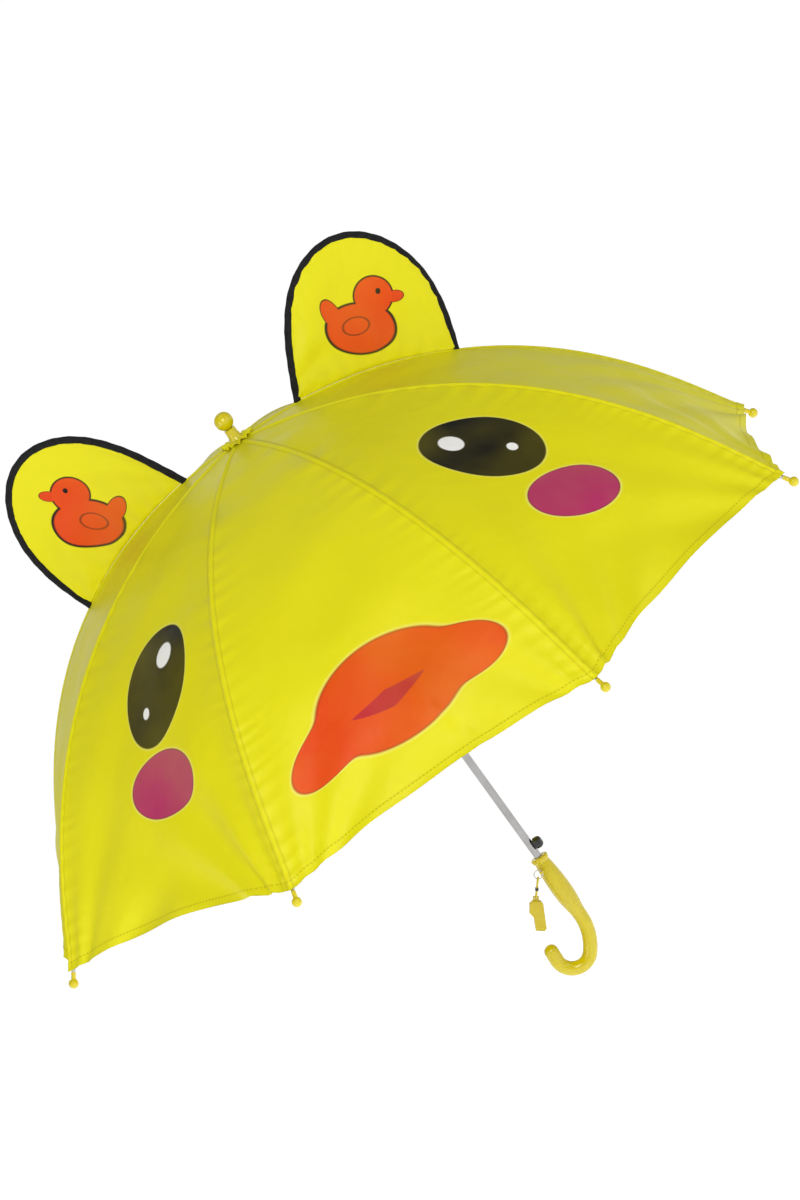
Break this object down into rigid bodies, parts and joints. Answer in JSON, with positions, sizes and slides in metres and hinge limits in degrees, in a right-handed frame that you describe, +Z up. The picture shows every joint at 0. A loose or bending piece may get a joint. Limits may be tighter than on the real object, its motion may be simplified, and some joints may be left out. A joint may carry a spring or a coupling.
{
  "type": "children's umbrella",
  "caption": "Domed automatic children's umbrella with printed face, two fabric ears, ball rib tips, steel shaft, push button, J handle and whistle.",
  "frame": {"origin": "on the shaft axis in the middle of the grip, 43 mm below the top of the handle's collar", "axes": "+Z up the shaft to the ferrule, -Y towards the side that carries the face, -X the way the hook opens"},
  "size_m": [0.7442, 0.7442, 0.6423],
  "materials": {
    "canopy_cloth": "satin polyester, printed",
    "ear_cloth": "satin polyester with black binding",
    "binding_cloth": "woven tape",
    "cord_cloth": "braided",
    "tube_steel": "bright plated",
    "rib_steel": "plated strip",
    "wire_steel": "drawn wire",
    "crimp_metal": "blackened",
    "handle_plastic": "glossy moulded",
    "tip_plastic": "glossy moulded",
    "whistle_plastic": "moulded",
    "button_plastic": "moulded",
    "notch_plastic": "moulded"
  },
  "bodies": {
    "frame": {"shaft_tube": "tube_steel", "handle": "handle_plastic", "ferrule": "tip_plastic", "canopy_cap": "canopy_cloth", "top_notch": "notch_plastic", "top_wire": "wire_steel", "button_spring": "wire_steel"},
    "rib_1": {"rib_1": "rib_steel", "rib_tip_1": "tip_plastic", "gore_1": "canopy_cloth"},
    "stretcher_1": {"stretcher_1": "rib_steel"},
    "link_1": {"link_1": "rib_steel"},
    "rib_2": {"rib_2": "rib_steel", "rib_tip_2": "tip_plastic", "gore_2": "canopy_cloth"},
    "stretcher_2": {"stretcher_2": "rib_steel"},
    "link_2": {"link_2": "rib_steel"},
    "rib_3": {"rib_3": "rib_steel", "rib_tip_3": "tip_plastic", "gore_3": "canopy_cloth"},
    "stretcher_3": {"stretcher_3": "rib_steel"},
    "link_3": {"link_3": "rib_steel"},
    "rib_4": {"rib_4": "rib_steel", "rib_tip_4": "tip_plastic", "gore_4": "canopy_cloth", "ear_right": "ear_cloth"},
    "stretcher_4": {"stretcher_4": "rib_steel"},
    "link_4": {"link_4": "rib_steel"},
    "rib_5": {"rib_5": "rib_steel", "rib_tip_5": "tip_plastic", "gore_5": "canopy_cloth"},
    "stretcher_5": {"stretcher_5": "rib_steel"},
    "link_5": {"link_5": "rib_steel"},
    "rib_6": {"rib_6": "rib_steel", "rib_tip_6": "tip_plastic", "gore_6": "canopy_cloth"},
    "stretcher_6": {"stretcher_6": "rib_steel"},
    "link_6": {"link_6": "rib_steel"},
    "rib_7": {"rib_7": "rib_steel", "rib_tip_7": "tip_plastic", "gore_7": "canopy_cloth", "ear_left": "ear_cloth"},
    "stretcher_7": {"stretcher_7": "rib_steel"},
    "link_7": {"link_7": "rib_steel"},
    "rib_8": {"rib_8": "rib_steel", "rib_tip_8": "tip_plastic", "gore_8": "canopy_cloth"},
    "stretcher_8": {"stretcher_8": "rib_steel"},
    "link_8": {"link_8": "rib_steel"},
    "runner": {"runner": "notch_plastic", "runner_wire": "wire_steel", "spring_sleeve": "tube_steel", "opening_spring": "wire_steel"},
    "spring_slide": {"spring_slide": "notch_plastic"},
    "tie_strap": {"tie_strap": "canopy_cloth"},
    "release_button": {"release_button": "button_plastic"},
    "whistle": {"split_ring": "wire_steel", "whistle_cord": "cord_cloth", "cord_crimp": "crimp_metal", "whistle": "whistle_plastic"}
  },
  "joints": [
    {"name": "canopy_fold", "type": "hinge", "parent": "frame", "child": "rib_1", "pos_m": [-0.00402, -0.0097, 0.482], "axis": [0.9239, -0.3827, 0], "range_deg": [0, 52], "stiffness_Nm_per_rad": 0.9, "springref_deg": -74.48, "deforming": ["gore_1"]},
    {"name": "stretcher_pivot_1", "type": "hinge", "parent": "rib_1", "child": "stretcher_1", "pos_m": [-0.08135, -0.19639, 0.42482], "axis": [0.9239, -0.3827, 0], "range_deg": [-104, 0]},
    {"name": "link_pivot_1", "type": "hinge", "parent": "stretcher_1", "child": "link_1", "pos_m": [-0.01727, -0.0417, 0.37744], "axis": [0.9239, -0.3827, 0], "range_deg": [0, 104]},
    {"name": "rib_fold_2", "type": "hinge", "parent": "frame", "child": "rib_2", "pos_m": [0.00402, -0.0097, 0.482], "axis": [0.9239, 0.3827, 0], "range_deg": [0, 52], "deforming": ["gore_2"]},
    {"name": "stretcher_pivot_2", "type": "hinge", "parent": "rib_2", "child": "stretcher_2", "pos_m": [0.08135, -0.19639, 0.42482], "axis": [0.9239, 0.3827, 0], "range_deg": [-104, 0]},
    {"name": "link_pivot_2", "type": "hinge", "parent": "stretcher_2", "child": "link_2", "pos_m": [0.01727, -0.0417, 0.37744], "axis": [0.9239, 0.3827, 0], "range_deg": [0, 104]},
    {"name": "rib_fold_3", "type": "hinge", "parent": "frame", "child": "rib_3", "pos_m": [0.0097, -0.00402, 0.482], "axis": [0.3827, 0.9239, 0], "range_deg": [0, 52], "deforming": ["gore_3"]},
    {"name": "stretcher_pivot_3", "type": "hinge", "parent": "rib_3", "child": "stretcher_3", "pos_m": [0.19639, -0.08135, 0.42482], "axis": [0.3827, 0.9239, 0], "range_deg": [-104, 0]},
    {"name": "link_pivot_3", "type": "hinge", "parent": "stretcher_3", "child": "link_3", "pos_m": [0.0417, -0.01727, 0.37744], "axis": [0.3827, 0.9239, 0], "range_deg": [0, 104]},
    {"name": "rib_fold_4", "type": "hinge", "parent": "frame", "child": "rib_4", "pos_m": [0.0097, 0.00402, 0.482], "axis": [-0.3827, 0.9239, 0], "range_deg": [0, 52], "deforming": ["gore_4", "ear_right"]},
    {"name": "stretcher_pivot_4", "type": "hinge", "parent": "rib_4", "child": "stretcher_4", "pos_m": [0.19639, 0.08135, 0.42482], "axis": [-0.3827, 0.9239, 0], "range_deg": [-104, 0]},
    {"name": "link_pivot_4", "type": "hinge", "parent": "stretcher_4", "child": "link_4", "pos_m": [0.0417, 0.01727, 0.37744], "axis": [-0.3827, 0.9239, 0], "range_deg": [0, 104]},
    {"name": "rib_fold_5", "type": "hinge", "parent": "frame", "child": "rib_5", "pos_m": [0.00402, 0.0097, 0.482], "axis": [-0.9239, 0.3827, 0], "range_deg": [0, 52], "deforming": ["gore_5"]},
    {"name": "stretcher_pivot_5", "type": "hinge", "parent": "rib_5", "child": "stretcher_5", "pos_m": [0.08135, 0.19639, 0.42482], "axis": [-0.9239, 0.3827, 0], "range_deg": [-104, 0]},
    {"name": "link_pivot_5", "type": "hinge", "parent": "stretcher_5", "child": "link_5", "pos_m": [0.01727, 0.0417, 0.37744], "axis": [-0.9239, 0.3827, 0], "range_deg": [0, 104]},
    {"name": "rib_fold_6", "type": "hinge", "parent": "frame", "child": "rib_6", "pos_m": [-0.00402, 0.0097, 0.482], "axis": [-0.9239, -0.3827, 0], "range_deg": [0, 52], "deforming": ["gore_6"]},
    {"name": "stretcher_pivot_6", "type": "hinge", "parent": "rib_6", "child": "stretcher_6", "pos_m": [-0.08135, 0.19639, 0.42482], "axis": [-0.9239, -0.3827, 0], "range_deg": [-104, 0]},
    {"name": "link_pivot_6", "type": "hinge", "parent": "stretcher_6", "child": "link_6", "pos_m": [-0.01727, 0.0417, 0.37744], "axis": [-0.9239, -0.3827, 0], "range_deg": [0, 104]},
    {"name": "rib_fold_7", "type": "hinge", "parent": "frame", "child": "rib_7", "pos_m": [-0.0097, 0.00402, 0.482], "axis": [-0.3827, -0.9239, 0], "range_deg": [0, 52], "deforming": ["gore_7", "ear_left"]},
    {"name": "stretcher_pivot_7", "type": "hinge", "parent": "rib_7", "child": "stretcher_7", "pos_m": [-0.19639, 0.08135, 0.42482], "axis": [-0.3827, -0.9239, 0], "range_deg": [-104, 0]},
    {"name": "link_pivot_7", "type": "hinge", "parent": "stretcher_7", "child": "link_7", "pos_m": [-0.0417, 0.01727, 0.37744], "axis": [-0.3827, -0.9239, 0], "range_deg": [0, 104]},
    {"name": "rib_fold_8", "type": "hinge", "parent": "frame", "child": "rib_8", "pos_m": [-0.0097, -0.00402, 0.482], "axis": [0.3827, -0.9239, 0], "range_deg": [0, 52], "deforming": ["gore_8"]},
    {"name": "stretcher_pivot_8", "type": "hinge", "parent": "rib_8", "child": "stretcher_8", "pos_m": [-0.19639, -0.08135, 0.42482], "axis": [0.3827, -0.9239, 0], "range_deg": [-104, 0]},
    {"name": "link_pivot_8", "type": "hinge", "parent": "stretcher_8", "child": "link_8", "pos_m": [-0.0417, -0.01727, 0.37744], "axis": [0.3827, -0.9239, 0], "range_deg": [0, 104]},
    {"name": "runner_pivot", "type": "hinge", "parent": "stretcher_1", "child": "runner", "pos_m": [-0.00402, -0.0097, 0.36764], "axis": [0.9239, -0.3827, 0], "range_deg": [0, 52], "deforming": ["opening_spring"]},
    {"name": "slide_pivot", "type": "hinge", "parent": "link_1", "child": "spring_slide", "pos_m": [-0.00402, -0.0097, 0.38725], "axis": [0.9239, -0.3827, 0], "range_deg": [-52, 0]},
    {"name": "strap_hang", "type": "hinge", "parent": "rib_5", "child": "tie_strap", "pos_m": [0.12847, 0.36242, 0.231], "axis": [-0.9239, 0.3827, 0], "range_deg": [-52, 0]},
    {"name": "button_press", "type": "slide", "parent": "frame", "child": "release_button", "axis": [-0.9397, 0.342, 0], "range_m": [0, 0.0015], "stiffness_N_per_m": 900, "springref_m": -0.001, "deforming": ["button_spring"]},
    {"name": "whistle_swing", "type": "hinge", "parent": "frame", "child": "whistle", "pos_m": [-0.0082, -0.0122, 0.0328], "axis": [0, 1, 0], "range_deg": [-76, 5]}
  ],
  "couplings": [
    {"joint": "stretcher_pivot_1", "follows": "canopy_fold", "ratio": -2},
    {"joint": "link_pivot_1", "follows": "canopy_fold", "ratio": 2},
    {"joint": "rib_fold_2", "follows": "canopy_fold", "ratio": 1},
    {"joint": "stretcher_pivot_2", "follows": "canopy_fold", "ratio": -2},
    {"joint": "link_pivot_2", "follows": "canopy_fold", "ratio": 2},
    {"joint": "rib_fold_3", "follows": "canopy_fold", "ratio": 1},
    {"joint": "stretcher_pivot_3", "follows": "canopy_fold", "ratio": -2},
    {"joint": "link_pivot_3", "follows": "canopy_fold", "ratio": 2},
    {"joint": "rib_fold_4", "follows": "canopy_fold", "ratio": 1},
    {"joint": "stretcher_pivot_4", "follows": "canopy_fold", "ratio": -2},
    {"joint": "link_pivot_4", "follows": "canopy_fold", "ratio": 2},
    {"joint": "rib_fold_5", "follows": "canopy_fold", "ratio": 1},
    {"joint": "stretcher_pivot_5", "follows": "canopy_fold", "ratio": -2},
    {"joint": "link_pivot_5", "follows": "canopy_fold", "ratio": 2},
    {"joint": "rib_fold_6", "follows": "canopy_fold", "ratio": 1},
    {"joint": "stretcher_pivot_6", "follows": "canopy_fold", "ratio": -2},
    {"joint": "link_pivot_6", "follows": "canopy_fold", "ratio": 2},
    {"joint": "rib_fold_7", "follows": "canopy_fold", "ratio": 1},
    {"joint": "stretcher_pivot_7", "follows": "canopy_fold", "ratio": -2},
    {"joint": "link_pivot_7", "follows": "canopy_fold", "ratio": 2},
    {"joint": "rib_fold_8", "follows": "canopy_fold", "ratio": 1},
    {"joint": "stretcher_pivot_8", "follows": "canopy_fold", "ratio": -2},
    {"joint": "link_pivot_8", "follows": "canopy_fold", "ratio": 2},
    {"joint": "runner_pivot", "follows": "canopy_fold", "ratio": 1},
    {"joint": "slide_pivot", "follows": "canopy_fold", "ratio": -1},
    {"joint": "strap_hang", "follows": "canopy_fold", "ratio": -1}
  ]
}
